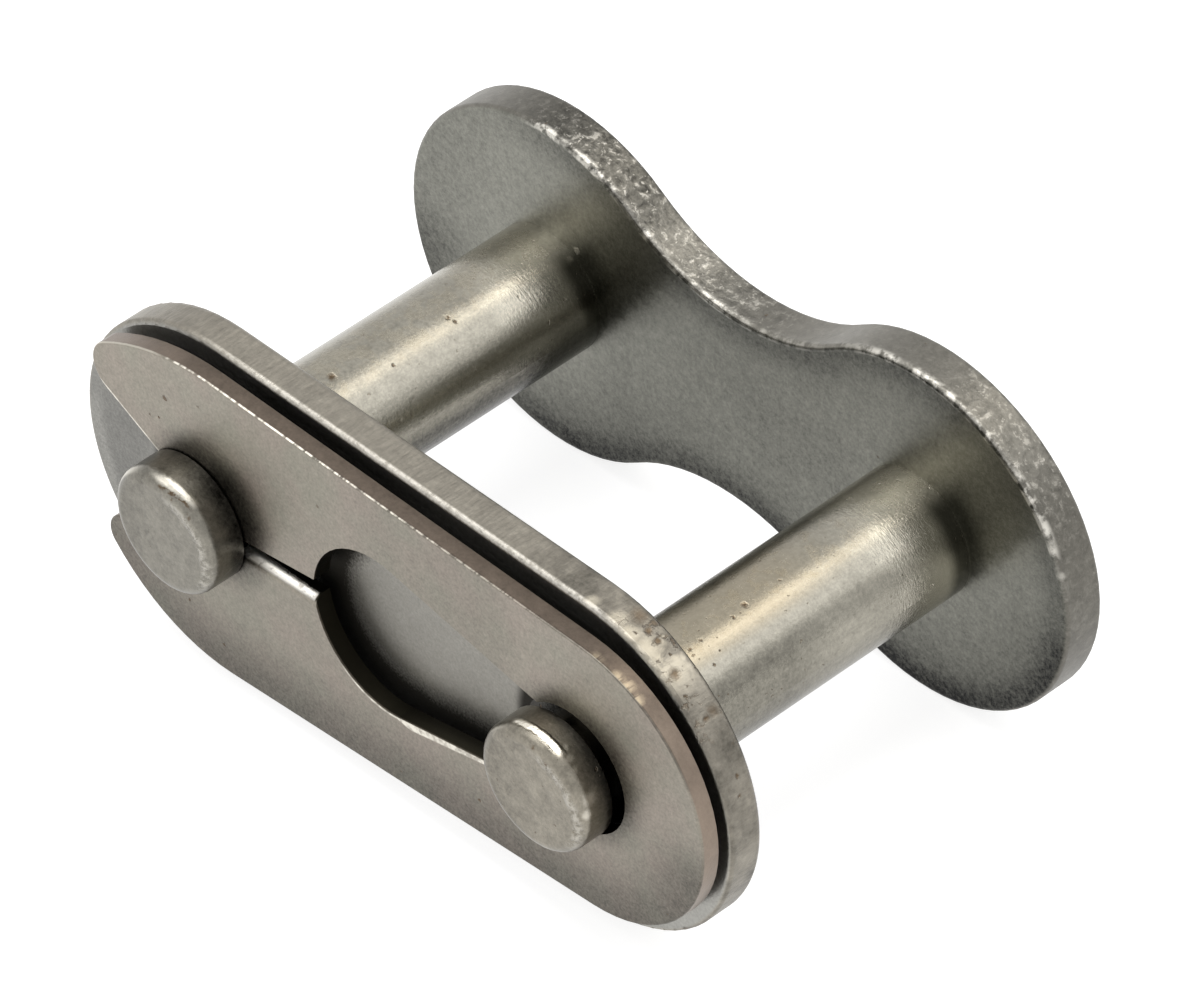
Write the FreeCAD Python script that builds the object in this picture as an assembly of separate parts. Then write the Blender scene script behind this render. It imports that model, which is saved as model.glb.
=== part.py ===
"""Roller chain connecting link: a waisted pin plate with two riveted pins, a straight-sided
cover plate and the split spring clip that locks the cover on.

All sizes are in millimetres. X runs along the chain's pitch from the clip's open end to its
closed end, Y runs along the pins from the cover plate to the pin plate, Z is up. The origin
is midway between the two pin axes and midway between the plates.
"""
import FreeCAD
import Part
import math
import os

# Chain size
pitch = 12.70
pin_diameter = 3.58
inner_width = 9.90

# Pin plate, a figure of eight with a waist
plate_thickness = 1.20
lobe_radius = 5.00
waist_half_height = 2.97
plate_edge_radius = 0.14

# Cover plate, straight-sided with full round ends
cover_thickness = 1.05
cover_half_height = 4.82
cover_front_edge_radius = 0.14
cover_back_edge_radius = 0.22
cover_bore_clearance = 0.02
bore_lead_in = 0.10

# Pins: riveted shank, bearing land, cover seat, clip groove, head
shank_step = 0.20
rivet_flare = 0.36
rivet_head_height = 0.40
rivet_head_bevel = 0.30
seat_step = 0.04
groove_depth = 0.50
groove_play = 0.04
head_length_closed_end = 1.05
head_length_open_end = 1.15
head_edge_radius = 0.34

# Spring clip blank; its ends are placed from the pins they go round
clip_thickness = 0.50
clip_stand_off = 0.30
clip_edge_radius = 0.05
closed_end_beyond_pin = 0.65
closed_end_radius = 4.07
shoulder_inside_pin = 0.85
shoulder_half_height = 4.62

# The two prongs, a little unlike since the upper one is sprung further out
upper_shoulder_radius = 7.00
upper_tip_radius = 0.80
upper_mouth_angle = 29.0
lower_shoulder_radius = 5.00
lower_tip_radius = 0.60
lower_mouth_angle = 20.0

# Openings of the clip, as clearances round the pins' grooves and heads
pocket_clearance = 0.25
pocket_inside_pin = 0.05
throat_snap = 0.15
neck_clearance = 0.13
clip_seat_clearance = 0.52
clip_seat_beyond_pin = 0.36
window_clearance = 0.62
window_offset = 0.20
window_rise = 0.10
slit_top_at_pocket = 0.17
slit_top_at_window = 0.47
slit_bottom_at_pocket = -0.20
slit_bottom_at_window = -0.11
slit_lip_radius = 0.30

# How the clip sits on the pins: turned a little and raised by its play in the grooves
clip_turn = 1.58
clip_rise = 0.115

# Places along the pins
plate_inner_y = inner_width / 2
plate_outer_y = plate_inner_y + plate_thickness
cover_back_y = -inner_width / 2
cover_front_y = cover_back_y - cover_thickness
clip_back_y = cover_front_y - clip_stand_off
clip_front_y = clip_back_y - clip_thickness
groove_back_y = clip_back_y + groove_play
groove_front_y = clip_front_y - groove_play

# Radii and places that follow from the sizes above
pin_x = pitch / 2
land_radius = pin_diameter / 2
shank_radius = land_radius - shank_step
rivet_radius = shank_radius + rivet_flare
head_radius = land_radius - seat_step
groove_radius = head_radius - groove_depth
closed_end_x = pin_x + closed_end_beyond_pin
shoulder_x = -pin_x + shoulder_inside_pin
pocket_x = -pin_x + pocket_inside_pin
pocket_radius = groove_radius + pocket_clearance
throat_half_height = groove_radius - throat_snap
neck_half_height = groove_radius + neck_clearance
clip_seat_x = pin_x + clip_seat_beyond_pin
clip_seat_radius = groove_radius + clip_seat_clearance
window_radius = head_radius + window_clearance

# Two points closer than this are the same point
same_place = 1e-5


def point(x, y, z):
    return FreeCAD.Vector(x, y, z)


def line(a, b):
    """Straight edge between two (x, z) points of the sketch plane y = 0."""
    return Part.LineSegment(point(a[0], 0, a[1]), point(b[0], 0, b[1])).toShape()


def arc(a, middle, b):
    """Arc edge from a through middle to b, all (x, z) points of the plane y = 0."""
    return Part.Arc(point(a[0], 0, a[1]), point(middle[0], 0, middle[1]), point(b[0], 0, b[1])).toShape()


def on_circle(centre_x, centre_z, radius, angle):
    return (centre_x + radius * math.cos(angle), centre_z + radius * math.sin(angle))


def mirrored(p):
    return (p[0], -p[1])


def unchanged(p):
    return p


def middle_of(edge):
    return edge.valueAt((edge.FirstParameter + edge.LastParameter) / 2)


def lies_on_one_of(edge, sketch):
    """True if an edge of a blank was extruded from one of the sketch's edges."""
    m = middle_of(edge)
    flat = point(m.x, 0, m.z)
    return any(flat.distanceToPoint(middle_of(e)) < same_place for e in sketch)


def plate_from(edges, y, thickness):
    """Flat blank: the closed outline, moved to y and extruded along +Y."""
    face = Part.Face(Part.Wire(Part.__sortEdges__(edges)))
    face.translate(point(0, y, 0))
    return face.extrude(point(0, thickness, 0))


def rim_edges(solid, y):
    """Edges of a blank that lie wholly in the plane at y."""
    return [e for e in solid.Edges if all(abs(v.Y - y) < same_place for v in e.Vertexes)
            and abs(middle_of(e).y - y) < same_place]


def bore(x, y, length, radius):
    return Part.makeCylinder(radius, length, point(x, y, 0), point(0, 1, 0))


def lead_in(x, y, radius, depth, inward):
    """Cone that bevels the mouth of a bore at y; inward is +1 where the metal lies towards +Y."""
    return Part.makeCone(radius + depth, radius, depth, point(x, y, 0), point(0, inward, 0))


def make_pin_plate():
    """Two lobes round the pins, joined above and below by hollow arcs tangent to both."""
    waist_radius = (pin_x ** 2 + waist_half_height ** 2 - lobe_radius ** 2) / (2 * (lobe_radius - waist_half_height))
    waist_centre_z = waist_half_height + waist_radius
    # Direction from a lobe's centre to the centre of the hollow arc beside it
    to_hollow = math.atan2(waist_centre_z, pin_x)
    joint = (pin_x - lobe_radius * math.cos(to_hollow), lobe_radius * math.sin(to_hollow))
    right_top = joint
    left_top = (-joint[0], joint[1])
    edges = [
        arc(right_top, (pin_x + lobe_radius, 0), mirrored(right_top)),
        arc(mirrored(right_top), (0, -waist_half_height), mirrored(left_top)),
        arc(mirrored(left_top), (-pin_x - lobe_radius, 0), left_top),
        arc(left_top, (0, waist_half_height), right_top),
    ]
    plate = plate_from(edges, plate_inner_y, plate_thickness)
    plate = plate.makeFillet(plate_edge_radius, rim_edges(plate, plate_inner_y) + rim_edges(plate, plate_outer_y))
    for x in (-pin_x, pin_x):
        plate = plate.cut(bore(x, plate_inner_y, plate_thickness, shank_radius))
    return plate


def make_cover_plate():
    r = cover_half_height
    edges = [
        line((-pin_x, r), (pin_x, r)),
        arc((pin_x, r), (pin_x + r, 0), (pin_x, -r)),
        line((pin_x, -r), (-pin_x, -r)),
        arc((-pin_x, -r), (-pin_x - r, 0), (-pin_x, r)),
    ]
    plate = plate_from(edges, cover_front_y, cover_thickness)
    plate = plate.makeFillet(cover_front_edge_radius, rim_edges(plate, cover_front_y))
    plate = plate.makeFillet(cover_back_edge_radius, rim_edges(plate, cover_back_y))
    hole_radius = head_radius + cover_bore_clearance
    for x in (-pin_x, pin_x):
        plate = plate.cut(bore(x, cover_front_y, cover_thickness, hole_radius))
        plate = plate.cut(lead_in(x, cover_front_y, hole_radius, bore_lead_in, 1))
    return plate


def make_pin(x, head_length):
    """Turned profile of one pin, from the riveted head to the free head, revolved on its axis."""
    head_face_y = clip_front_y - head_length
    rivet_end_y = plate_outer_y + rivet_head_height
    e = head_edge_radius
    corner = e * (1 - math.sqrt(0.5))

    def p(radius, y):
        return point(x + radius, y, 0)

    outline = [
        p(0, rivet_end_y),
        p(rivet_radius - rivet_head_bevel, rivet_end_y),
        p(rivet_radius, rivet_end_y - rivet_head_bevel),
        p(rivet_radius, plate_outer_y),
        p(shank_radius, plate_outer_y),
        p(shank_radius, plate_inner_y),
        p(land_radius, plate_inner_y),
        p(land_radius, cover_back_y),
        p(head_radius, cover_back_y),
        p(head_radius, groove_back_y),
        p(groove_radius, groove_back_y),
        p(groove_radius, groove_front_y),
        p(head_radius, groove_front_y),
        p(head_radius, head_face_y + e),
    ]
    edges = [Part.LineSegment(a, b).toShape() for a, b in zip(outline, outline[1:])]
    rounded = Part.Arc(outline[-1], p(head_radius - corner, head_face_y + corner), p(head_radius - e, head_face_y))
    edges.append(rounded.toShape())
    edges.append(Part.LineSegment(p(head_radius - e, head_face_y), p(0, head_face_y)).toShape())
    edges.append(Part.LineSegment(p(0, head_face_y), p(0, rivet_end_y)).toShape())
    profile = Part.Face(Part.Wire(edges))
    return profile.revolve(point(x, 0, 0), point(0, 1, 0), 360)


def clip_outer_points(shoulder_radius, tip_radius, mouth_angle):
    """One half of the clip's outer outline, as if above: closed end, taper, shoulder, tip, mouth."""
    run = closed_end_x - shoulder_x
    reach = math.hypot(run, shoulder_half_height)
    taper = math.asin(closed_end_radius / reach) - math.atan2(shoulder_half_height, run)
    # The outward normal of the taper line points up and leans by the taper angle
    normal = (-math.sin(taper), math.cos(taper))
    closed_top = (closed_end_x + closed_end_radius * normal[0], closed_end_radius * normal[1])
    shoulder = (shoulder_x, shoulder_half_height)
    shoulder_centre = (shoulder[0] - shoulder_radius * normal[0], shoulder[1] - shoulder_radius * normal[1])

    throat = (pocket_x - math.sqrt(pocket_radius ** 2 - throat_half_height ** 2), throat_half_height)
    a = math.radians(mouth_angle)
    along = (-math.cos(a), math.sin(a))
    into_metal = (math.sin(a), math.cos(a))
    # The tip's centre lies its radius inside the mouth's flank and inside the shoulder arc
    start = (throat[0] + tip_radius * into_metal[0], throat[1] + tip_radius * into_metal[1])
    dx = start[0] - shoulder_centre[0]
    dz = start[1] - shoulder_centre[1]
    half_b = dx * along[0] + dz * along[1]
    c = dx ** 2 + dz ** 2 - (shoulder_radius - tip_radius) ** 2
    t = -half_b + math.sqrt(half_b ** 2 - c)
    tip_centre = (start[0] + t * along[0], start[1] + t * along[1])
    flank_end = (tip_centre[0] - tip_radius * into_metal[0], tip_centre[1] - tip_radius * into_metal[1])
    outward = math.atan2(tip_centre[1] - shoulder_centre[1], tip_centre[0] - shoulder_centre[0])
    shoulder_end = on_circle(*shoulder_centre, shoulder_radius, outward)
    start_angle = math.atan2(normal[1], normal[0])
    shoulder_middle = on_circle(*shoulder_centre, shoulder_radius, (start_angle + outward) / 2)
    flank_angle = math.atan2(-into_metal[1], -into_metal[0]) + 2 * math.pi
    tip_middle = on_circle(*tip_centre, tip_radius, (outward + flank_angle) / 2)
    return closed_top, shoulder, shoulder_middle, shoulder_end, tip_middle, flank_end, throat


def window_points(centre_z):
    """One half of the clip's window, as if above: its round's arc, and its taper to the pin seat."""
    neck_x = clip_seat_x - math.sqrt(clip_seat_radius ** 2 - neck_half_height ** 2)
    run = neck_x - window_offset
    climb = neck_half_height - centre_z
    from_centre = math.atan2(climb, run) + math.acos(window_radius / math.hypot(run, climb))
    arc_middle = on_circle(window_offset, centre_z, window_radius, (from_centre + math.pi) / 2)
    leave = on_circle(window_offset, centre_z, window_radius, from_centre)
    return arc_middle, leave, (neck_x, neck_half_height)


def pocket_edge_x(z):
    return pocket_x + math.sqrt(pocket_radius ** 2 - z ** 2)


def window_edge_x(z):
    return window_offset - math.sqrt(window_radius ** 2 - (z - window_rise) ** 2)


def make_spring_clip():
    """One closed outline: round the outside, in through the mouth, pocket, slit, window and seat."""
    upper = clip_outer_points(upper_shoulder_radius, upper_tip_radius, upper_mouth_angle)
    lower = clip_outer_points(lower_shoulder_radius, lower_tip_radius, lower_mouth_angle)
    upper_window = window_points(window_rise)
    lower_window = window_points(-window_rise)
    slit_top = [(pocket_edge_x(slit_top_at_pocket), slit_top_at_pocket),
                (window_edge_x(slit_top_at_window), slit_top_at_window)]
    slit_bottom = [(pocket_edge_x(slit_bottom_at_pocket), slit_bottom_at_pocket),
                   (window_edge_x(slit_bottom_at_window), slit_bottom_at_window)]
    outside = [arc(upper[0], (closed_end_x + closed_end_radius, 0), mirrored(lower[0]))]
    neck = upper_window[2]
    inside = [arc(neck, (clip_seat_x + clip_seat_radius, 0), mirrored(neck))]
    for half, prong, window, slit in ((unchanged, upper, upper_window, slit_top),
                                      (mirrored, lower, lower_window, slit_bottom)):
        closed_top, shoulder, shoulder_middle, shoulder_end, tip_middle, flank_end, throat = prong
        outside.append(line(half(closed_top), half(shoulder)))
        outside.append(arc(half(shoulder), half(shoulder_middle), half(shoulder_end)))
        outside.append(arc(half(shoulder_end), half(tip_middle), half(flank_end)))
        inside.append(line(half(flank_end), half(throat)))
        inside.append(arc(half(throat), half((pocket_x, pocket_radius)), slit[0]))
        inside.append(line(slit[0], slit[1]))
        arc_middle, leave, neck = window
        inside.append(arc(slit[1], half(arc_middle), half(leave)))
        inside.append(line(half(leave), half(neck)))
    clip = plate_from(outside + inside, clip_front_y, clip_thickness)
    # Blanking rolls the front edge of the outside outline over a little
    rolled = [e for e in rim_edges(clip, clip_front_y) if lies_on_one_of(e, outside)]
    clip = clip.makeFillet(clip_edge_radius, rolled)
    # The lower prong's lip along the slit is rubbed round by prising the clip on and off
    lip = [e for e in rim_edges(clip, clip_front_y) if lies_on_one_of(e, [line(*slit_bottom)])]
    clip = clip.makeFillet(slit_lip_radius, lip)
    clip.rotate(point(0, 0, 0), point(0, 1, 0), -clip_turn)
    clip.translate(point(0, 0, clip_rise))
    return clip


pieces = {
    "pin_plate": make_pin_plate(),
    "pin_closed_end": make_pin(pin_x, head_length_closed_end),
    "pin_open_end": make_pin(-pin_x, head_length_open_end),
    "cover_plate": make_cover_plate(),
    "spring_clip": make_spring_clip(),
}

os.makedirs("parts", exist_ok=True)
for name, shape in pieces.items():
    if shape.ShapeType != "Solid":
        shape = shape.Solids[0]
    shape.exportStep("parts/" + name + ".step")
    box = shape.BoundBox
    print(name, "valid", shape.isValid(), "volume %.2f" % shape.Volume,
          "x %.2f %.2f y %.2f %.2f z %.2f %.2f" % (box.XMin, box.XMax, box.YMin, box.YMax, box.ZMin, box.ZMax))
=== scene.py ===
"""Looks of the chain connecting link: worn plain steel in several finishes, studio light, camera.

Lengths in the materials are in millimetres, read from Object coordinates. X runs along the
pitch, Y along the pins from the cover plate to the pin plate, Z is up, as in the CAD frame.
"""
import bpy
import math
from mathutils import Matrix, Vector


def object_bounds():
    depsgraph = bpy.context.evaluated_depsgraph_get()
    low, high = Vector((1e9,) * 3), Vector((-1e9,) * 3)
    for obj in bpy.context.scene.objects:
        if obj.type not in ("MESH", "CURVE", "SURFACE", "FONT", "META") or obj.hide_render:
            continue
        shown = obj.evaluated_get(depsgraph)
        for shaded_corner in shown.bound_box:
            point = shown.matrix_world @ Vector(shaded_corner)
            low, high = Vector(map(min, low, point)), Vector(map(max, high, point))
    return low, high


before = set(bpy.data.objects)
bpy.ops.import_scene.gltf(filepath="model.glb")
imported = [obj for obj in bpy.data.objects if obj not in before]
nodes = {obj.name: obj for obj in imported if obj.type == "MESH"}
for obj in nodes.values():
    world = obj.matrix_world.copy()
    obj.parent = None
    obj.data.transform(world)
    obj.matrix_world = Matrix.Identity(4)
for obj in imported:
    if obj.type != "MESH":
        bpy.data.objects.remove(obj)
box_at_load = [list(shaded_corner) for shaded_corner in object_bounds()]

# Sizes of the CAD part that the finishes follow, in millimetres
PIN_X = 6.35
HEAD_FACE_CLOSED = -7.85
HEAD_FACE_OPEN = -7.95
PLATE_INNER = 4.95
LOBE_RADIUS = 5.0
WAIST_HALF = 2.97
COVER_FRONT = -6.0
COVER_HALF = 4.82
CLIP_FRONT = -6.8
CLIP_BACK = -6.3
CLIP_TURN = math.radians(1.58)
CLIP_RISE = 0.115
CLIP_SHOULDER = (-5.5, 4.62)
CLIP_CLOSED_END = (7.0, 4.07)
WINDOW_X = 0.2
WINDOW_RISE = 0.1
WINDOW_RADIUS = 2.37
NECK = (5.6, 1.38)
MOUTH_THROAT = (-7.32, 1.10)
MOUTH_ANGLE = math.radians(29.0)

# Plain worn colours of the steel and its rust, and colours for painted shade and painted highlights
BARE_AND_HIGHLIGHT = (0.80, 0.77, 0.70)
PALE_EDGE_HIGHLIGHT = (0.62, 0.59, 0.53)
SHADE_BLACK = (0.014, 0.012, 0.009)
RUST = (0.085, 0.050, 0.022)
PLATE_STEEL = (0.205, 0.204, 0.177)
PLATE_SIDE = (0.165, 0.157, 0.137)
PLATE_PIN_SHADOW = (0.034, 0.034, 0.022)
COVER_STEEL = (0.258, 0.253, 0.234)
COVER_IN_WINDOW = (0.248, 0.234, 0.204)
COVER_SIDE = (0.245, 0.226, 0.190)
COVER_WORN = (0.66, 0.60, 0.48)
PIN_STEEL = (0.302, 0.286, 0.242)
PIN_SHADE = (0.030, 0.030, 0.020)
PIN_TAN = (0.36, 0.295, 0.19)
HEAD_STEEL_OPEN = (0.220, 0.208, 0.178)
HEAD_STEEL_CLOSED = (0.254, 0.233, 0.192)
BURNISHED_HIGHLIGHT = (0.92, 0.87, 0.76)
CLIP_STEEL_WARM = (0.285, 0.250, 0.212)
CLIP_STEEL_PLAIN = (0.262, 0.246, 0.203)
CLIP_WALL = (0.184, 0.147, 0.117)
CLIP_WALL_SHADE = (0.027, 0.025, 0.018)
CLIP_WALL_HALF_SHADE = (0.060, 0.056, 0.040)
SLIT_LIP_HIGHLIGHT = (0.98, 0.95, 0.88)
RIM_BEAD_HIGHLIGHT = (0.93, 0.88, 0.77)
EDGE_HIGHLIGHT = (0.90, 0.86, 0.76)
CLIP_WORN_HIGHLIGHT = (0.62, 0.52, 0.36)

# Single marks that can be told apart on the real link, each (x, y, z, radius)
PLATE_BURR = [(-5.33, 4.95, 1.75, 0.13)]
COVER_WORN_SPOTS = [
    (7.29, -5.77, 4.73, 0.35), (8.26, -5.75, 4.42, 0.45), (8.94, -5.6, 4.06, 0.35), (7.72, -5.85, 4.62, 0.4),
    (6.5, -5.85, 4.82, 0.3)]
COVER_PITS = [
    (7.94, -5.43, 4.55, 0.17), (8.25, -5.42, 4.43, 0.15), (9.0, -5.62, 4.02, 0.22), (7.80, -5.70, 4.60, 0.07),
    (8.62, -5.40, 4.23, 0.06), (9.95, -5.56, 3.2, 0.13), (9.45, -5.72, 3.68, 0.08),
    (10.79, -5.42, 1.87, 0.10), (10.96, -5.5, 1.4, 0.09)]
COVER_STAINS = [(7.53, -5.30, 4.67, 0.35), (9.9, -5.30, 3.25, 0.25)]
PIN_PITS = [
    (-5.55, -1.0, 1.6, 0.08), (-5.79, 1.05, 1.7, 0.10), (-5.62, 1.12, 1.63, 0.08), (-6.13, -2.47, 1.78, 0.17),
    (6.86, -3.09, 1.71, 0.08), (6.8, -2.7, 1.73, 0.06), (7.24, -2.48, 1.56, 0.06), (7.42, -2.83, 1.43, 0.06),
    (6.7, -1.13, 1.76, 0.12), (6.77, -1.6, 1.74, 0.08), (6.67, 0.06, 1.76, 0.06)]
HEAD_PITS = [
    (-6.3, -7.9, 1.58, 0.09), (-5.85, -7.95, 1.45, 0.06), (-5.3, -7.95, 1.2, 0.09), (6.5, -7.82, 1.50, 0.10),
    (6.95, -7.85, 1.28, 0.08), (7.3, -7.85, 1.0, 0.06)]
# Painted highlights on the rounding and side of the closed-end head
HEAD_RIDGE_HIGHLIGHTS = [
    (7.09, -7.32, 1.59, 0.11), (7.32, -7.42, 1.45, 0.14), (7.54, -7.47, 1.28, 0.12), (8.0, -7.45, 0.62, 0.26),
    (8.05, -7.6, 0.27, 0.2)]
# Worn patches on the clip's rim round the closed end, painted lighter as highlights
CLIP_WORN_HIGHLIGHT_SPOTS = [
    (8.29, -6.78, 4.24, 0.3), (8.6, -6.76, 4.15, 0.35), (8.94, -6.78, 3.95, 0.3), (7.6, -6.78, 4.45, 0.3)]
CLIP_PITS = [
    (-7.24, -6.8, 3.12, 0.10), (-7.84, -6.8, 2.2, 0.05), (-7.5, -6.8, 2.35, 0.05), (-6.79, -6.8, -3.13, 0.07),
    (-5.58, -6.8, -3.83, 0.07), (7.15, -6.8, -1.58, 0.06), (3.46, -6.8, -2.92, 0.07)]

# What a height of 1 in a bump stands for, in metres, and the least roughness of worn and ground steel
BUMP_DEPTH = 5e-6
WORN_ROUGHNESS = 0.15
GROUND_ROUGHNESS = 0.12


class Wire:
    """A shader socket that can be used in Python arithmetic."""

    def __init__(self, tree, socket):
        self.tree = tree
        self.socket = socket

    def _math(self, operation, *values):
        return self.tree.node("ShaderNodeMath", {"operation": operation}, values)

    def __add__(self, other):
        return self._math("ADD", self, other)

    def __radd__(self, other):
        return self._math("ADD", other, self)

    def __sub__(self, other):
        return self._math("SUBTRACT", self, other)

    def __rsub__(self, other):
        return self._math("SUBTRACT", other, self)

    def __mul__(self, other):
        return self._math("MULTIPLY", self, other)

    def __rmul__(self, other):
        return self._math("MULTIPLY", other, self)

    def __truediv__(self, other):
        return self._math("DIVIDE", self, other)

    def __neg__(self):
        return self._math("MULTIPLY", self, -1.0)

    def __abs__(self):
        return self._math("ABSOLUTE", self)

    def sqrt(self):
        return self._math("SQRT", self)

    def part(self, name):
        """Another output of the node that this socket belongs to."""
        return Wire(self.tree, self.socket.node.outputs[name])

    def at_least(self, other):
        return self._math("MAXIMUM", self, other)

    def at_most(self, other):
        return self._math("MINIMUM", self, other)

    def below(self, other):
        return self._math("LESS_THAN", self, other)

    def ramp(self, start, end, low=0.0, high=1.0):
        """Smooth step from low at start to high at end; start may lie above end."""
        if start > end:
            start, end, low, high = end, start, high, low
        values = {"Value": self, "From Min": start, "From Max": end, "To Min": low, "To Max": high}
        return self.tree.node("ShaderNodeMapRange", {"interpolation_type": "SMOOTHSTEP"}, values)


class Tree:
    """Node tree of one material, with one method that adds any node."""

    def __init__(self, owner):
        owner.use_nodes = True
        self.nodes = owner.node_tree.nodes
        self.links = owner.node_tree.links
        self.nodes.clear()

    def node(self, kind, settings=None, values=(), output=0):
        made = self.nodes.new(kind)
        for key, value in (settings or {}).items():
            setattr(made, key, value)
        pairs = values.items() if isinstance(values, dict) else enumerate(values)
        for key, value in pairs:
            socket = made.inputs[key]
            if isinstance(value, Wire):
                self.links.new(value.socket, socket)
            else:
                socket.default_value = value
        return Wire(self, made.outputs[output]) if len(made.outputs) else None

    def place(self):
        """Object coordinates in millimetres, whole and as x, y, z."""
        metres = self.node("ShaderNodeTexCoord", output="Object")
        whole = self.node("ShaderNodeVectorMath", {"operation": "SCALE"}, {0: metres, "Scale": 1000.0})
        split = self.node("ShaderNodeSeparateXYZ", values=[whole])
        x, y, z = (split.part(axis) for axis in "XYZ")
        return whole, x, y, z

    def join(self, x, y, z):
        return self.node("ShaderNodeCombineXYZ", values=[x, y, z])

    def noise(self, where, scale, detail=3.0, roughness=0.5, distortion=0.0):
        values = {"Vector": where, "Scale": scale, "Detail": detail, "Roughness": roughness,
                  "Distortion": distortion}
        return self.node("ShaderNodeTexNoise", values=values)

    def bent(self, where, scale, reach):
        """The place pushed about by noise, so that what is drawn there gets ragged edges."""
        values = {"Vector": where, "Scale": scale, "Detail": 2.0}
        push = self.node("ShaderNodeTexNoise", values=values, output="Color")
        centred = self.node("ShaderNodeVectorMath", {"operation": "SUBTRACT"}, [push, (0.5, 0.5, 0.5)])
        shift = self.node("ShaderNodeVectorMath", {"operation": "SCALE"}, {0: centred, "Scale": reach})
        return self.node("ShaderNodeVectorMath", {"operation": "ADD"}, [where, shift])

    def pits(self, where, scale, radius, share, seed):
        """Small ragged pits in a share of the cells of a grid of that scale, radius in millimetres."""
        offset = (seed, seed * 1.7, seed * 0.6)
        moved = self.node("ShaderNodeVectorMath", {"operation": "ADD"}, [where, offset])
        ragged = self.bent(moved, 15.0, 0.13)
        cells = self.node("ShaderNodeTexVoronoi", values={"Vector": ragged, "Scale": scale})
        chance = self.node("ShaderNodeSeparateColor", values=[cells.part("Color")])
        size = chance.part("Green") * 0.7 + 0.3
        reach = cells / size
        return reach.ramp(radius * scale, radius * scale * 0.5) * chance.below(share)

    def marks(self, where, places, softness=0.5):
        """Ragged spots at given places, each (x, y, z, radius); 1 in the middle of a spot."""
        ragged = self.bent(self.bent(where, 6.0, 0.12), 16.0, 0.10)
        found = None
        for x, y, z, radius in places:
            settings = {"operation": "DISTANCE"}
            away = self.node("ShaderNodeVectorMath", settings, [ragged, (x, y, z)], output="Value")
            spot = away.ramp(radius, radius * softness)
            found = spot if found is None else found.at_least(spot)
        return found

    def mix(self, factor, a, b):
        """Colour a, going over to colour b as the factor goes from 0 to 1."""
        settings = {"data_type": "RGBA", "blend_type": "MIX", "clamp_factor": True}
        first, second = (end if isinstance(end, Wire) else (*end, 1.0) for end in (a, b))
        # A mix node's sockets 6 and 7 are its colours, and its output 2 is the mixed colour
        return self.node("ShaderNodeMix", settings, {0: factor, 6: first, 7: second}, output=2)

    def seen_or_reflected(self):
        """1 for rays from the camera, from gloss and through glass, 0 for all others."""
        path = self.node("ShaderNodeLightPath").socket.node.outputs
        kinds = ("Is Camera Ray", "Is Glossy Ray", "Is Transmission Ray")
        camera, glossy, glass = (Wire(self, path[kind]) for kind in kinds)
        return camera.at_least(glossy).at_least(glass)

    def steel(self, colour, roughness, height, depth):
        """Metal surface: colour and roughness wires, and a height wire whose unit is depth metres."""
        bump = self.node("ShaderNodeBump", values={"Strength": 1.0, "Distance": depth, "Height": height})
        values = {"Base Color": colour, "Roughness": roughness, "Metallic": 1.0, "Normal": bump}
        surface = self.node("ShaderNodeBsdfPrincipled", values=values)
        self.node("ShaderNodeOutputMaterial", values={"Surface": surface})


def length_of(u, v):
    """Length of a two-dimensional step."""
    return (u * u + v * v).sqrt()


def satin(tree, where):
    """Fine grain of tumbled steel and the mottling in it, each from about -1 to 1."""
    fine = (tree.noise(where, 11.0, 4.0, 0.75) - 0.5) * 4.0
    middle = (tree.noise(where, 3.2, 3.0, 0.6) - 0.5) * 3.0
    return fine, middle


def clouds(tree, where, scale):
    """Faint broad clouds, from about -1 to 1."""
    return (tree.noise(where, scale, 3.0, 0.55) - 0.5) * 3.0


def shade(tree, colour, amount):
    """The colour made lighter or darker: amount 0 leaves it, 1 doubles it, -1 is black."""
    factor = (amount + 1.0).at_least(0.0)
    return tree.node("ShaderNodeVectorMath", {"operation": "SCALE"}, {0: colour, "Scale": factor})


def pin_plate_inset(x, z):
    """Distance in from the pin plate's outline: round the lobes, and off the hollow arcs between."""
    waist_radius = (PIN_X ** 2 + WAIST_HALF ** 2 - LOBE_RADIUS ** 2) / (2 * (LOBE_RADIUS - WAIST_HALF))
    waist_centre = WAIST_HALF + waist_radius
    joint_x = PIN_X - LOBE_RADIUS * PIN_X / math.hypot(PIN_X, waist_centre)
    to_lobe = LOBE_RADIUS - length_of(abs(x) - PIN_X, z)
    to_waist = length_of(x, abs(z) - waist_centre) - waist_radius
    return to_lobe + abs(x).below(joint_x) * (to_waist - to_lobe)


def clip_frame(x, z):
    """Places along and across the spring clip, which sits turned and raised on its pins."""
    raised = z - CLIP_RISE
    along = x * math.cos(CLIP_TURN) + raised * math.sin(CLIP_TURN)
    across = raised * math.cos(CLIP_TURN) - x * math.sin(CLIP_TURN)
    return along, across


def clip_inset(along, across):
    """Distance in from the clip's outline, a taper between two round ends."""
    slope = (CLIP_SHOULDER[1] - CLIP_CLOSED_END[1]) / (CLIP_CLOSED_END[0] - CLIP_SHOULDER[0])
    held = along.at_least(CLIP_SHOULDER[0]).at_most(CLIP_CLOSED_END[0])
    half = (CLIP_CLOSED_END[0] - held) * slope + CLIP_CLOSED_END[1]
    return half - length_of(along - held, across)


def window_inset(along, across):
    """Distance in from the window's outline: its round, and the taper to the pin seat."""
    to_round = WINDOW_RADIUS - length_of(along - WINDOW_X, across - WINDOW_RISE)
    slope = (WINDOW_RADIUS - NECK[1] + 0.12) / (NECK[0] - WINDOW_X)
    half = (NECK[0] - along) * slope + NECK[1]
    to_taper = half - abs(across)
    return to_round + (along - WINDOW_X).ramp(0.3, 0.9) * (to_taper - to_round)


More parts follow.
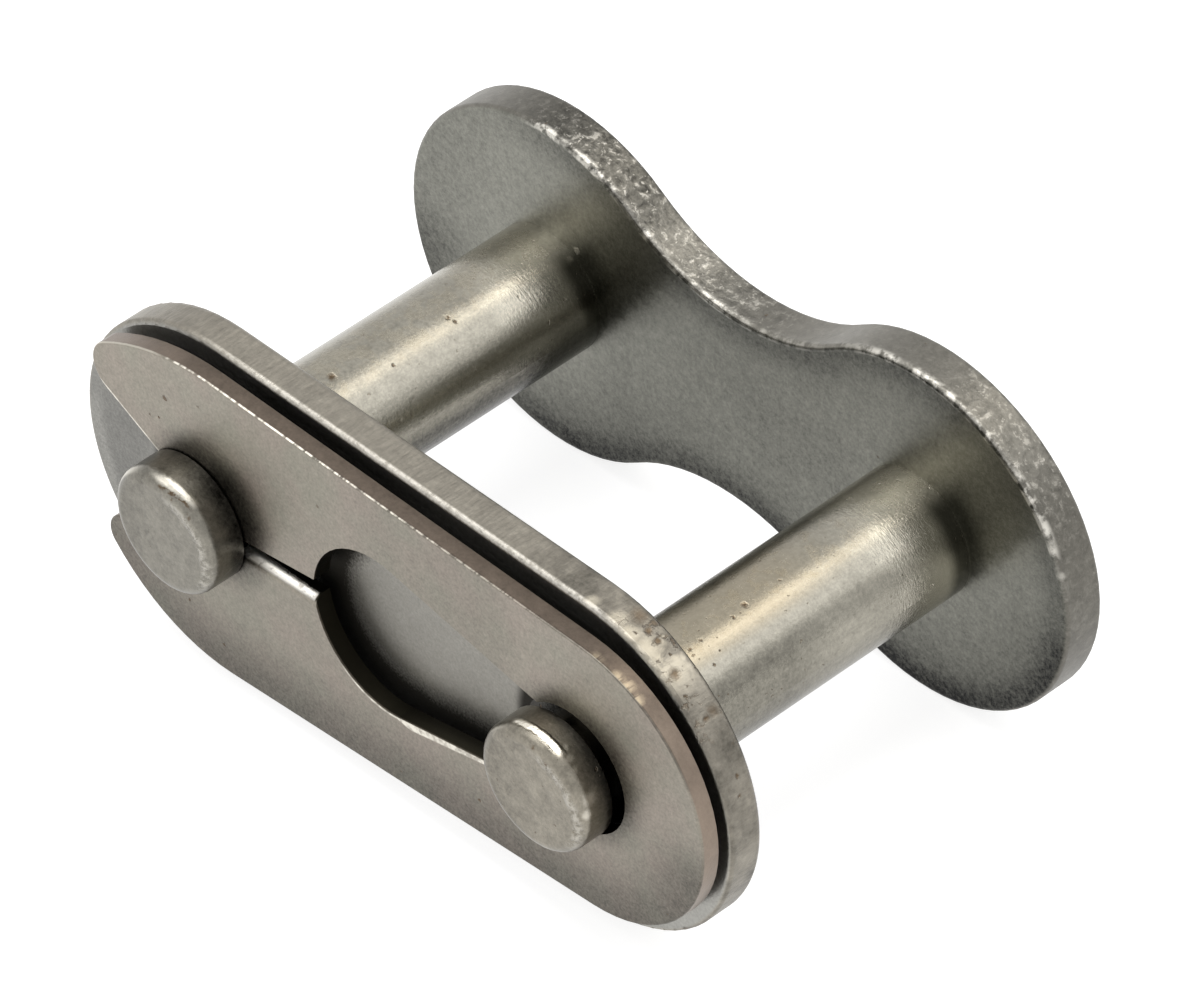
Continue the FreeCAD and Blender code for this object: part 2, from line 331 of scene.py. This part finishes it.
def from_pin(x):
    """Distance along the pitch from the nearer pin's axis, positive towards the closed end."""
    return x + x.below(0.0) * (2 * PIN_X) - PIN_X


def right_of_pin(x, z):
    """How far to the upper right of its own pin's axis a place lies, in millimetres."""
    return from_pin(x) * 0.9 + z * 0.25


def head_shadow_on_clip(x, z):
    """Painted shadow and reflection of each pin head on the clip, to its upper right, 1 beside the head."""
    return length_of(from_pin(x) - 0.55, z - 0.50).ramp(2.5, 1.35)


def lower_edge_darkening(inset, z, width):
    """Darkening of the faces towards their lower edges, 1 at the edge."""
    return inset.ramp(width, 0.0) * z.ramp(0.6, -1.2)


def finish_pin_plate(material):
    t = Tree(material)
    where, x, y, z = t.place()
    fine, middle = satin(t, where)
    broad = clouds(t, where, 0.45)
    inset = pin_plate_inset(x, z)
    side = inset.ramp(0.10, 0.03)
    # Painted shade darkens the face towards the rim, where it rolls over
    rim_shade = inset.ramp(1.25, 0.15) * (x + 11.0).ramp(1.5, 5.0)
    lower_darkening = lower_edge_darkening(inset, z, 2.9)
    # Painted shadow and reflection of each pin lie beside it, up to a ragged slanting edge below
    off_pin = from_pin(x)
    slant = z - off_pin * 1.3 + (t.noise(where, 2.4, 4.0, 0.7) - 0.5) * 1.1
    inner_face = y.ramp(PLATE_INNER + 0.3, PLATE_INNER + 0.1)
    at_closed_end = x.ramp(0.0, 1.0)
    pin_shadow = slant.ramp(-3.17, -2.37) * (slant - at_closed_end * 1.2).ramp(3.0, -0.8) * inner_face
    pin_shadow = pin_shadow * (off_pin * 0.61 + z * 0.79).ramp(-0.3, 1.2)
    pin_shadow = pin_shadow * length_of(off_pin, z).ramp(6.6, 3.8) * (1 - at_closed_end * 0.14)
    pin_shadow = pin_shadow * (t.noise(where, 8.0, 3.0, 0.85).ramp(0.25, 0.70) * 0.35 + 0.70)
    face = shade(t, PLATE_STEEL,
                 fine * 0.36 + middle * 0.15 + broad * 0.06 - rim_shade * 0.42
                 - lower_darkening * (abs(x).ramp(2.0, 5.0) * 0.16 + 0.28)
                 - x.ramp(-3.0, 3.0) * 0.08 + x.ramp(7.5, 9.5) * 0.10 - x.ramp(-8.0, -10.0) * 0.15
                 - x.ramp(-1.0, 1.5) * x.ramp(5.0, 3.5) * z.ramp(2.0, 0.5) * z.ramp(-1.6, -0.4) * 0.12)
    face = t.mix(pin_shadow * 0.88, face, PLATE_PIN_SHADOW)
    # Sheared side: crumpled in the hollow by the open end, smoother elsewhere, with painted glints that are
    # strongest where it is crumpled
    crumpled = x.ramp(-7.5, -5.0) * x.ramp(2.5, -1.5) + x.ramp(6.5, 8.0) * x.ramp(11.2, 9.5) * 0.55 + 0.12
    torn = t.noise(t.bent(where, 3.0, 0.3), 4.2, 3.0, 0.65)
    flecks = t.noise(where, 7.0, 2.0, 0.6)
    side_tone = fine * 0.18 + middle * 0.16 + (torn - 0.5) * (crumpled * 1.6 + 0.3)
    side_tone = side_tone - x.ramp(-5.0, -6.5) * x.ramp(-8.4, -7.4) * 0.18
    side_tone = side_tone - x.ramp(-7.6, -6.2) * x.ramp(-2.6, -3.4) * 0.28 - x.ramp(9.5, 10.8) * 0.15
    side_tone = side_tone + x.ramp(-3.0, -2.4) * x.ramp(-1.0, -1.6) * 0.15
    side_tone = side_tone + x.ramp(0.8, 1.8) * x.ramp(5.5, 4.0) * 0.20
    sheared = shade(t, PLATE_SIDE, side_tone)
    painted_glint = torn.ramp(0.56, 0.68) * 0.40 + flecks.ramp(0.60, 0.72) * 0.50
    sheared = t.mix(painted_glint * crumpled.at_most(1.0), sheared, PALE_EDGE_HIGHLIGHT)
    colour = t.mix(side, face, sheared)
    # Painted highlight: pale ragged glints in patches along the upper inner rim of the face
    ragged = t.noise(where, 3.0, 3.0, 0.65)
    near_face = y.ramp(PLATE_INNER + 0.24, PLATE_INNER + 0.06)
    patches = t.noise(where, 0.9, 2.0, 0.5).ramp(0.36, 0.56) * 0.75 + 0.15
    rim_highlight = inset.ramp(0.20, 0.11) * near_face * ragged.ramp(0.40, 0.60) * z.ramp(0.0, 2.0) * x.ramp(-7.4, -6.2)
    rim_highlight = rim_highlight * (1 - x.ramp(-1.2, 0.4) * x.ramp(5.5, 4.0) * 0.7)
    colour = t.mix(rim_highlight * patches, colour, BARE_AND_HIGHLIGHT)
    burr = t.marks(where, PLATE_BURR)
    colour = t.mix(burr * 0.35, colour, BARE_AND_HIGHLIGHT)
    dark = t.pits(where, 1.4, 0.07, 0.3, 3.0)
    colour = t.mix(dark * 0.5, colour, RUST)
    rough = (0.33 + fine * 0.04 + side * 0.08).at_least(WORN_ROUGHNESS)
    height = fine * 0.3 + side * (torn * 6.2 + flecks * 2.6) * crumpled - dark * 1.5 + burr * 2.0
    t.steel(colour, rough, height, BUMP_DEPTH)


def finish_cover(material):
    t = Tree(material)
    where, x, y, z = t.place()
    fine, middle = satin(t, where)
    broad = clouds(t, where, 0.4)
    inset = COVER_HALF - length_of((abs(x) - PIN_X).at_least(0.0), z)
    side = inset.ramp(0.14, 0.03)
    streaks = t.noise(t.join(x * 3.0, y * 0.5, z * 3.0), 3.4, 4.0, 0.65)
    face = shade(t, COVER_STEEL,
                 fine * 0.26 + middle * 0.10 + broad * 0.05 - x.ramp(-7.5, -9.5) * z.ramp(2.2, 0.6) * 0.34)
    # The sheared side is streaked across its thickness and duller round the closed end
    round_end = (x - PIN_X).ramp(2.6, 4.2)
    blurred = t.noise(t.bent(where, 1.5, 0.6), 1.1, 4.0, 0.7)
    side_tone = (fine * 0.13 + middle * 0.14 + (streaks - 0.5) * (1 - x.ramp(2.0, 6.0) * 0.5) * 0.9
                 - round_end * 0.20)
    side_tone = side_tone + (blurred - 0.5) * (x.ramp(1.0, 6.0) * 1.3 + 0.3)
    side_tone = side_tone - x.ramp(4.5, 6.0) * x.ramp(9.2, 8.4) * 0.24
    sheared = shade(t, COVER_SIDE, side_tone)
    worn = t.marks(where, COVER_WORN_SPOTS, 0.2)
    mottled = t.noise(t.bent(where, 1.5, 0.6), 1.3, 4.0, 0.65)
    patch = (x - PIN_X).ramp(1.1, 2.2) * (x - PIN_X).ramp(3.3, 2.5) * mottled.ramp(0.36, 0.56)
    sheared = t.mix((worn * 0.42).at_least(patch * 0.42), sheared, COVER_WORN)
    pitted = t.marks(where, COVER_PITS, 0.1)
    blotches = t.noise(t.bent(where, 3.0, 0.3), 3.0, 4.0, 0.7).ramp(0.56, 0.66) * (x - PIN_X).ramp(0.6, 1.4)
    pitted = pitted.at_least(t.marks(where, COVER_STAINS, 0.0) * 0.7)
    pitted = pitted.at_least(blotches * (x - PIN_X).ramp(5.0, 3.0) * 0.6)
    sheared = t.mix(pitted * 0.78, sheared, RUST)
    colour = t.mix(side, face, sheared)
    # Painted highlight along the cover's rounded front edge, broken by noise
    near_front = y.ramp(COVER_FRONT + 0.17, COVER_FRONT + 0.08)
    broken = t.noise(where, 7.0, 3.0, 0.75).ramp(0.36, 0.60) * 0.65 + 0.35
    rim_highlight = inset.ramp(0.145, 0.115) * near_front * broken * z.ramp(0.5, 2.5)
    rim_highlight = rim_highlight * x.ramp(-8.0, -4.0) * x.ramp(8.0, 6.4)
    colour = t.mix(rim_highlight * 0.70, colour, PALE_EDGE_HIGHLIGHT)
    on_face = y.ramp(COVER_FRONT + 0.05, COVER_FRONT + 0.01)
    along, across = clip_frame(x, z)
    under_clip = clip_inset(along, across)
    # Painted shade lies in the gap beside the clip's overhanging outline
    gap_shade = inset.ramp(0.38, 0.78) * under_clip.ramp(0.9, 0.1) * x.ramp(-9.6, -8.0)
    gap_shade = gap_shade * (1 - x.ramp(8.5, 10.0) * z.ramp(3.6, 1.8))
    hole = window_inset(along, across)
    inside_window = hole.ramp(-0.9, -0.5)
    # Painted shade also fills the window's corner, speckled at its edge, and a ring round each pin
    shaded_corner = hole.ramp(1.1, -0.15) * (1 - along.ramp(1.5, 4.5) * 0.35)
    shaded_corner = shaded_corner * (across + along * 0.35).ramp(1.9, 0.9) * inside_window
    shaded_ring = length_of(from_pin(x), z).ramp(2.5, 2.1) * (1 - x.ramp(0.0, 1.0) * z.ramp(0.7, 1.8))
    speckled = t.noise(where, 13.0, 2.0, 0.8).ramp(0.25, 0.75)
    shaded_corner = ((shaded_corner * 1.7 - speckled * 0.55).at_least(0.0)).at_most(1.0).at_least(shaded_ring)
    in_window = shade(t, COVER_IN_WINDOW, fine * 0.26 + middle * 0.10)
    colour = t.mix(hole.ramp(-0.3, 0.0) * on_face * 0.6, colour, in_window)
    # Painted light lifts the margin between that band and the rim, against the shade under the clip's
    # overhang
    lit_margin = inset.ramp(0.80, 0.35) * on_face * under_clip.ramp(0.9, 0.1) * z.ramp(1.5, 0.0)
    colour = shade(t, colour, lit_margin * 0.40)
    cover_shade = on_face * gap_shade.at_least(shaded_corner)
    colour = t.mix(cover_shade * 0.95, colour, SHADE_BLACK)
    rough = (0.33 + fine * 0.04 + cover_shade * 0.3 + side * 0.06).at_least(WORN_ROUGHNESS)
    height = fine * 0.3 + side * (streaks * 3.0 - pitted * 6.0)
    t.steel(colour, rough, height, BUMP_DEPTH)


def finish_pin(material):
    t = Tree(material)
    where, x, y, z = t.place()
    radius = length_of(from_pin(x), z)
    fine, middle = satin(t, where)
    broad = clouds(t, where, 0.6)
    drawn = t.noise(t.join(x * 3.0, y * 0.45, z * 3.0), 3.0, 4.0, 0.65)
    head = y.ramp(CLIP_FRONT + 0.1, CLIP_FRONT - 0.05)
    # The riveted ends behind the pin plate lie beyond the bearing part of the pin
    at_open_end = x.below(0.0)
    bearing = y.ramp(PLATE_INNER + 0.15, PLATE_INNER - 0.05)
    # Painted light and shade on the bearing part of the pins: lighter along their tops, in bands and towards
    # the pin plate, darker on their lower sides
    open_end_light_shade = z.ramp(0.1, 0.5) * z.ramp(1.3, 0.9) * 0.30 - z.ramp(0.3, -0.2) * 0.60
    closed_end_light_shade = (y.ramp(2.0, 3.2) * z.ramp(1.0, 0.3) * 0.5 + y.ramp(2.4, 3.6) * 0.60
                   - y.ramp(1.0, -1.5) * z.ramp(1.4, 0.9) * 0.32)
    body = shade(t, PIN_STEEL,
                 fine * 0.24 + middle * 0.14 + broad * 0.06 + (drawn - 0.5) * 0.30
                 + bearing * (y.ramp(1.6, 3.4) * z.ramp(0.7, 1.3) * 0.75 - z.ramp(0.2, -0.9) * 0.15
                              + at_open_end * open_end_light_shade + (1 - at_open_end) * closed_end_light_shade))
    # Painted shade and dark reflection in the corner between the pin and the pin plate, and on the low side
    # of the open-end pin there
    shaded_corner = y.ramp(4.15, 4.65) * right_of_pin(x, z).ramp(0.85, 1.35) * bearing
    low_end_shade = y.ramp(2.6, 4.0) * z.ramp(0.9, 0.2) * at_open_end * bearing
    body = t.mix((shaded_corner * 0.85).at_least(low_end_shade * 0.5), body, PIN_SHADE)
    mottled = t.noise(t.bent(where, 2.0, 0.4), 2.6, 4.0, 0.65)
    # Painted shade darkens the sides of the heads towards the clip, the left of each head, and all that lies
    # in the groove
    shadowed = y.ramp(-7.62, -6.95) * right_of_pin(x, z).ramp(-0.2, 1.2)
    groove = y.ramp(-5.7, -5.9) * y.ramp(-6.88, -6.76)
    head_colour = t.mix(at_open_end, HEAD_STEEL_CLOSED, HEAD_STEEL_OPEN)
    upset = shade(t, head_colour,
                  fine * 0.25 + (mottled - 0.5) * 0.95 - shadowed * (0.18 + at_open_end * 0.30)
                  - y.ramp(-7.3, -6.95) * right_of_pin(x, z).ramp(0.5, 1.4) * at_open_end * 0.22
                  - from_pin(x).ramp(0.2, -1.3) * 0.17)
    groove_shade = groove * (0.95 - x.ramp(0.0, 1.0) * z.ramp(0.8, 1.6) * 0.45)
    colour = t.mix(groove_shade, t.mix(head, body, upset), SHADE_BLACK)
    # Brown stains and pits along the tops of the pins, most near the cover of the closed end
    stained = t.noise(t.bent(where, 1.4, 0.5), 1.5, 4.0, 0.7).ramp(0.44, 0.60) * z.ramp(1.50, 1.68)
    worn_end = x.ramp(0.0, 3.0) * y.ramp(2.5, -0.5)
    tinted = z.ramp(1.40, 1.62) * worn_end * bearing * 0.38
    tan = (stained * (worn_end * 0.35 + 0.15)).at_least(tinted) * (1 - head)
    colour = t.mix(tan, colour, PIN_TAN)
    dark = t.pits(where, 2.6, 0.055, 0.80, 5.0).at_least(t.pits(where, 4.0, 0.035, 0.8, 9.0))
    dark = dark * (worn_end * 0.5 + 0.5)
    marked = t.marks(where, PIN_PITS, 0.1)
    faces = t.marks(where, HEAD_PITS, 0.1)
    colour = t.mix((dark * 0.6).at_least(marked * 0.85).at_least(faces * 0.75), colour, RUST)
    # A raised lip of bare metal round the right of each face, painted lighter as a highlight
    lip_radius = length_of(from_pin(x) - 0.12, z + 0.14) + (t.noise(where, 2.2, 2.0, 0.5) - 0.5) * 0.16
    lip = lip_radius.ramp(1.26, 1.38) * lip_radius.ramp(1.62, 1.44) * y.ramp(-7.6, -7.75)
    worn_lip = t.noise(where, 5.0, 3.0, 0.8).ramp(0.38, 0.62)
    lip = lip * right_of_pin(x, z).ramp(0.2, 1.0) * z.ramp(-1.3, -0.6) * worn_lip
    colour = t.mix(lip * 0.5, colour, PALE_EDGE_HIGHLIGHT)
    # The rounding at the top of each head is burnished and painted lighter there as a highlight; painted
    # highlights also lie on the side of the closed-end head and the left of each rim
    across_pin = from_pin(x)
    frayed = (t.noise(where, 6.0, 3.0, 0.7) - 0.5) * 0.10
    depth = y - HEAD_FACE_CLOSED + at_open_end * (HEAD_FACE_CLOSED - HEAD_FACE_OPEN)
    middle_depth = at_open_end * (across_pin * 0.15 - 0.17) + 0.32
    off_band = depth - middle_depth + frayed
    turned = z + at_open_end * (across_pin * 0.20 - 0.05)
    uneven = t.noise(where, 4.5, 3.0, 0.7).ramp(0.30, 0.52) * 0.4 + 0.6
    burnish_highlight = abs(off_band).ramp(0.15, 0.045) * uneven * turned.ramp(1.50, 1.62)
    burnish_highlight = burnish_highlight * radius.ramp(1.50, 1.60) * head
    crack = abs(off_band + 0.13).ramp(0.035, 0.015) * turned.ramp(1.45, 1.60) * at_open_end * head
    crack = crack * t.noise(where, 7.0, 2.0, 0.6).ramp(0.40, 0.52)
    ridge_highlight = t.marks(where, HEAD_RIDGE_HIGHLIGHTS, 0.1)
    worn_rim_highlight = radius.ramp(1.62, 1.70) * right_of_pin(x, z).ramp(-0.2, -1.0) * head * y.ramp(-7.6, -7.75)
    head_highlight = (burnish_highlight * (0.85 - at_open_end * 0.45)).at_least(ridge_highlight * 0.40).at_least(worn_rim_highlight * 0.50)
    colour = t.mix(head_highlight, colour, BURNISHED_HIGHLIGHT)
    colour = t.mix(crack * 0.8, colour, RUST)
    rough = (0.225 + head * 0.08 + fine * 0.03 + stained * 0.05).at_least(GROUND_ROUGHNESS)
    # Grinding rings, too fine to see, which spread the light along the pin
    rings = t.noise(t.join(x * 2.0, y * 22.0, z * 2.0), 1.0, 2.0, 0.6)
    height = (fine * 0.25 + rings * 0.32 * (1 - head) + head * mottled * 2.0 + lip * 3.0 - dark * 1.5
              - marked * 3.0)
    height = height + burnish_highlight * off_band * 60.0 * (1 - at_open_end)
    t.steel(colour, rough, height, BUMP_DEPTH)


def finish_clip(material):
    t = Tree(material)
    where, x, y, z = t.place()
    along, across = clip_frame(x, z)
    fine, middle = satin(t, where)
    broad = clouds(t, where, 0.35)
    inset = clip_inset(along, across)
    lower_darkening = lower_edge_darkening(inset, across, 2.3) * (1 - (along + 3.0).ramp(-3.0, -5.0) * 0.2)
    head_shadow = head_shadow_on_clip(x, z)
    tone = (fine * 0.26 + middle * 0.09 + broad * 0.03 - 0.06 - lower_darkening * 0.48 - head_shadow * 0.68
            + across.ramp(0.0, 4.5) * 0.05)
    tone = tone - along.ramp(-1.5, 0.5) * along.ramp(5.5, 4.0) * across.ramp(0.5, 1.5) * 0.11
    tint = t.mix(clouds(t, where, 0.7) + 0.5, CLIP_STEEL_WARM, CLIP_STEEL_PLAIN)
    face = shade(t, tint, tone)
    wall = y.ramp(CLIP_FRONT + 0.02, CLIP_FRONT + 0.07)
    back = y.ramp(CLIP_FRONT + 0.1, CLIP_BACK)
    cut = shade(t, CLIP_WALL,
                fine * 0.12 + middle * 0.14 - back * 0.08 - along.ramp(-7.2, -6.0) * 0.28
                + along.ramp(6.0, 7.5) * across.ramp(3.6, 2.2) * 0.55)
    # Painted shade blackens the walls of the window and of the pin seat; the slit's lip is painted near-white
    # as a highlight
    outer = inset.ramp(1.1, 0.6)
    lip = along.ramp(-2.19, -2.23) * along.ramp(-5.4, -5.2)
    lip = lip * across.ramp(-0.54, -0.49) * across.ramp(0.05, 0.0)
    lip_back = (t.noise(where, 5.0, 3.0, 0.7) - 0.5) * 0.12 - along.ramp(-4.8, -2.4) * 0.13 - 6.45
    lip = lip * (y - lip_back).ramp(0.015, -0.015) * y.ramp(CLIP_FRONT + 0.02, CLIP_FRONT + 0.07)
    in_slit = along.ramp(-5.6, -5.4) * along.ramp(-2.1, -2.2)
    lighter_shade = y.ramp(-6.36, -6.72) * along.ramp(-1.5, 3.0) * (1 - in_slit)
    wall_shade = t.mix(lighter_shade, CLIP_WALL_SHADE, CLIP_WALL_HALF_SHADE)
    unshaded_seat = across.ramp(0.6, 1.7) * along.ramp(5.5, 6.3) * 0.75
    cut = t.mix((1 - outer) * (1 - lip) * (0.97 - unshaded_seat) * along.ramp(-7.4, -7.0), cut, wall_shade)
    colour = t.mix(wall, face, cut)
    # Painted highlight on the front part of the slit's lip, uneven by noise
    uneven_lip = t.noise(where, 4.0, 3.0, 0.6).ramp(0.30, 0.50) * y.ramp(CLIP_FRONT, CLIP_FRONT + 0.02)
    lip_highlight = lip * (uneven_lip * 0.6 + 0.4) * y.ramp(CLIP_FRONT, CLIP_FRONT + 0.03)
    colour = t.mix(lip_highlight, colour, SLIT_LIP_HIGHLIGHT)
    # The rim gets painted highlights, in fine beads along the top and in worn patches round the closed end;
    # painted shade dims the rim's own highlight between the beads and round the closed end
    bead_noise = t.noise(t.join(x, y * 0.2, z * 0.2), 4.5, 3.0, 0.7)
    rim_band = y.ramp(CLIP_FRONT + 0.004, CLIP_FRONT + 0.015) * y.ramp(CLIP_FRONT + 0.07, CLIP_FRONT + 0.04)
    top = outer * across.ramp(2.0, 3.0) * along.ramp(-7.6, -6.6) * (along.ramp(5.0, -4.0) * 0.8 + 0.05)
    bead_highlights = top * bead_noise.ramp(0.38, 0.60)
    patches = t.marks(where, CLIP_WORN_HIGHLIGHT_SPOTS, 0.1) * bead_noise.ramp(0.40, 0.55)
    flank = along.ramp(-7.0, -7.6) * across.ramp(-0.5, 0.5) * 0.35
    colour = t.mix(rim_band * bead_highlights.at_least(flank), colour, RIM_BEAD_HIGHLIGHT)
    dimmed_highlight = y.ramp(CLIP_FRONT + 0.002, CLIP_FRONT + 0.015) * y.ramp(CLIP_FRONT + 0.09, CLIP_FRONT + 0.05)
    gaps = bead_noise.ramp(0.52, 0.42) * along.ramp(-5.0, -2.0) * 0.45
    dimmed_highlight = dimmed_highlight * outer * across.ramp(1.5, 2.5) * gaps.at_least(along.ramp(4.5, 6.5) * 0.40)
    colour = shade(t, colour, -dimmed_highlight)
    # Painted highlight: a thin pale line on the edge of the window's lower side and of the mouth's upper
    # flank
    hole = window_inset(along, across)
    window_edge = hole.ramp(-0.075, -0.03) * across.ramp(0.0, -0.8)
    window_edge = window_edge * along.ramp(-1.6, -0.8) * along.ramp(5.4, 4.8)
    to_flank = ((along - MOUTH_THROAT[0]) * math.sin(MOUTH_ANGLE)
                + (across - MOUTH_THROAT[1]) * math.cos(MOUTH_ANGLE))
    flank_edge = to_flank.ramp(0.10, 0.06) * along.ramp(-7.3, -7.6) * across.ramp(0.4, 0.9)
    on_front = y.ramp(CLIP_FRONT + 0.02, CLIP_FRONT + 0.01)
    patchy = t.noise(where, 3.0, 3.0, 0.7).ramp(0.35, 0.6) * 0.7 + 0.3
    edge_highlight = window_edge.at_least(flank_edge) * patchy
    colour = t.mix(on_front * edge_highlight * 0.85, colour, EDGE_HIGHLIGHT)
    # Worn patches round the closed end, painted lighter as highlights
    colour = t.mix(patches * wall * 0.5, colour, CLIP_WORN_HIGHLIGHT)
    pitted = t.marks(where, CLIP_PITS)
    scattered = t.pits(where, 1.2, 0.06, 0.28, 2.0)
    colour = t.mix((pitted * 0.8).at_least(scattered * 0.5), colour, RUST)
    rough = (0.34 + fine * 0.04).at_least(WORN_ROUGHNESS)
    height = fine * 0.3 - pitted * 4.0 - scattered * 1.5
    t.steel(colour, rough, height, BUMP_DEPTH)


def dress(name, finish, material_name):
    material = bpy.data.materials.new(material_name)
    finish(material)
    for slot in nodes[name].material_slots:
        slot.material = material


dress("pin_plate", finish_pin_plate, "sheared_plate_steel")
dress("cover_plate", finish_cover, "cover_plate_steel")
dress("pin_closed_end", finish_pin, "ground_pin_steel")
dress("spring_clip", finish_clip, "spring_clip_steel")
for slot in nodes["pin_open_end"].material_slots:
    slot.material = nodes["pin_closed_end"].material_slots[0].material


def make_floor():
    """Pale floor under the link, white to the camera and in reflections, with a soft shadow."""
    half = 3.0
    gap_below_link = 1e-5
    level = box_at_load[0][2] - gap_below_link
    corners = [(-half, -half, level), (half, -half, level), (half, half, level), (-half, half, level)]
    mesh = bpy.data.meshes.new("floor")
    mesh.from_pydata(corners, [], [(0, 1, 2, 3)])
    floor = bpy.data.objects.new("floor", mesh)
    bpy.context.scene.collection.objects.link(floor)
    material = bpy.data.materials.new("white_floor")
    t = Tree(material)
    plain = t.node("ShaderNodeBsdfDiffuse", values={"Color": (0.8, 0.8, 0.8, 1.0)})
    # A little paler to the camera than in reflections, which keeps the shadow faint
    to_camera = t.node("ShaderNodeLightPath").part("Is Camera Ray")
    glow_colour = t.mix(to_camera, (0.92, 0.92, 0.92), (1.0, 1.0, 1.0))
    glow = t.node("ShaderNodeEmission", values={"Color": glow_colour, "Strength": 0.80})
    pale = t.node("ShaderNodeBsdfDiffuse", values={"Color": (0.45, 0.45, 0.45, 1.0)})
    lit = t.node("ShaderNodeAddShader", values=[glow, pale])
    shown = t.node("ShaderNodeMixShader", values=[t.seen_or_reflected(), plain, lit])
    t.node("ShaderNodeOutputMaterial", values={"Surface": shown})
    mesh.materials.append(material)


def make_world():
    """White for the camera and in reflections, and a soft grey studio sky for everything else."""
    world = bpy.data.worlds.new("studio")
    bpy.context.scene.world = world
    t = Tree(world)
    seen = t.seen_or_reflected()
    sky = t.node("ShaderNodeBackground", values={"Color": (1.0, 1.0, 1.0, 1.0), "Strength": 0.7 + seen * 0.3})
    t.node("ShaderNodeOutputWorld", values={"Surface": sky})


def make_box(name, towards, along, width, height, radiance, colour=(1.0, 1.0, 1.0)):
    """Soft box half a metre away in a direction, its width running along, sizes in degrees of view."""
    distance = 0.5
    data = bpy.data.lights.new(name, "AREA")
    data.shape = "RECTANGLE"
    data.size = 2 * distance * math.tan(math.radians(width / 2))
    data.size_y = 2 * distance * math.tan(math.radians(height / 2))
    data.energy = radiance * math.pi * data.size * data.size_y
    data.color = colour
    away = Vector(towards).normalized()
    side = (Vector(along) - Vector(along).dot(away) * away).normalized()
    turn = Matrix((side, away.cross(side), away)).transposed().to_4x4()
    lamp = bpy.data.objects.new(name, data)
    lamp.matrix_world = Matrix.Translation(away * distance) @ turn
    bpy.context.scene.collection.objects.link(lamp)


make_floor()
make_world()
make_box("key_box", (0.373, 0.560, 0.739), (0.77, 0.0, -0.389), 48.0, 44.0, 0.9)
make_box("key_core", (0.08, 0.50, 0.86), (0.77, 0.0, -0.389), 16.0, 44.0, 1.3, (1.0, 0.92, 0.78))
make_box("overhead_box", (-0.16, -0.02, 1.0), (1.0, 0.0, 0.0), 44.0, 30.0, 3.2)
make_box("front_box", (-0.45, -0.55, 0.72), (1.0, 0.0, 0.3), 26.0, 20.0, 2.0)

# Camera, fitted to the photograph's perspective
AZIMUTH = 47.234
ELEVATION = 41.962
ROLL = -1.593
DISTANCE = 0.233689
FOCAL = 292.045
SHIFT_X = 0.013766
SHIFT_Y = -0.000352


def make_camera():
    a, e, r = math.radians(AZIMUTH), math.radians(ELEVATION), math.radians(ROLL)
    back = Vector((math.sin(a) * math.cos(e), -math.cos(a) * math.cos(e), math.sin(e)))
    level = (-back).cross(Vector((0, 0, 1))).normalized()
    upright = level.cross(-back)
    right = math.cos(r) * level + math.sin(r) * upright
    up = -math.sin(r) * level + math.cos(r) * upright
    data = bpy.data.cameras.new("camera")
    data.lens = FOCAL
    data.sensor_width = 36.0
    data.shift_x = SHIFT_X
    data.shift_y = SHIFT_Y
    data.clip_start = 0.01
    data.clip_end = 20.0
    camera = bpy.data.objects.new("camera", data)
    turn = Matrix((right, up, back)).transposed().to_4x4()
    camera.matrix_world = Matrix.Translation(back * DISTANCE) @ turn
    bpy.context.scene.collection.objects.link(camera)
    bpy.context.scene.camera = camera


make_camera()
bpy.context.scene.view_settings.view_transform = "Standard"
